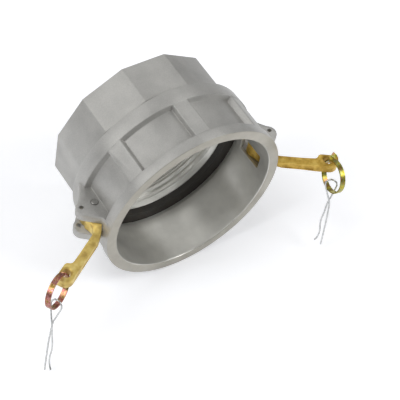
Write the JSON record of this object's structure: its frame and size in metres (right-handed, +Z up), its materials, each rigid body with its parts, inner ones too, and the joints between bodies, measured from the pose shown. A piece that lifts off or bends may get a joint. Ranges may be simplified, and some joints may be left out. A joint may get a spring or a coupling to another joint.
{
  "type": "cam and groove coupling",
  "caption": "Cam and groove hose coupler: aluminium female socket with gasket, two brass cam arms with rings and safety clips, female pipe thread end.",
  "frame": {"origin": "on the ground under the middle of the part's bounding box, as it lies on one rib of its body", "axes": "+Z up, -Y out of the socket's mouth along the bore, +X towards the ear on the right as seen from the mouth"},
  "size_m": [0.356, 0.1762, 0.1998],
  "materials": {
    "cast_aluminium": "as cast and shot blasted, with the socket, mouth face and thread machined",
    "cast_brass": "as cast, satin",
    "nitrile_rubber": "matt moulded",
    "steel_pin": "drawn bar, cut ends",
    "zinc_strip": "zinc plated and chromated, faintly iridescent",
    "clip_wire": "bright plated spring wire"
  },
  "bodies": {
    "body": {"coupler_body": "cast_aluminium", "gasket": "nitrile_rubber", "pivot_pin_left": "steel_pin", "pivot_pin_right": "steel_pin"},
    "arm_left": {"cam_arm_left": "cast_brass"},
    "arm_right": {"cam_arm_right": "cast_brass"},
    "ring_left": {"finger_ring_left": "zinc_strip"},
    "ring_right": {"finger_ring_right": "zinc_strip"},
    "clip_left": {"safety_clip_left": "clip_wire"},
    "clip_right": {"safety_clip_right": "clip_wire"}
  },
  "joints": [
    {"name": "arm_right_cam", "type": "hinge", "parent": "body", "child": "arm_right", "pos_m": [0.1084, 0.0032, 0.0999], "axis": [0, 0, 1], "range_deg": [0, 122]},
    {"name": "arm_left_cam", "type": "hinge", "parent": "body", "child": "arm_left", "pos_m": [-0.0836, 0.0032, 0.0999], "axis": [0, 0, -1], "range_deg": [0, 122]},
    {"name": "ring_right_swing", "type": "hinge", "parent": "arm_right", "child": "ring_right", "pos_m": [0.16639, -0.04742, 0.0999], "axis": [0, 0, 1], "range_deg": [-55, 100]},
    {"name": "ring_left_swing", "type": "hinge", "parent": "arm_left", "child": "ring_left", "pos_m": [-0.14159, -0.04742, 0.0999], "axis": [0, 0, -1], "range_deg": [-135, 30]},
    {"name": "clip_right_swing", "type": "hinge", "parent": "ring_right", "child": "clip_right", "pos_m": [0.16044, -0.0683, 0.08133], "axis": [0.1164, 0.9568, -0.2664], "range_deg": [-15, 15]},
    {"name": "clip_left_swing", "type": "hinge", "parent": "ring_left", "child": "clip_left", "pos_m": [-0.15954, -0.06131, 0.07894], "axis": [0.8278, 0.4119, -0.3809], "range_deg": [-15, 15]}
  ]
}
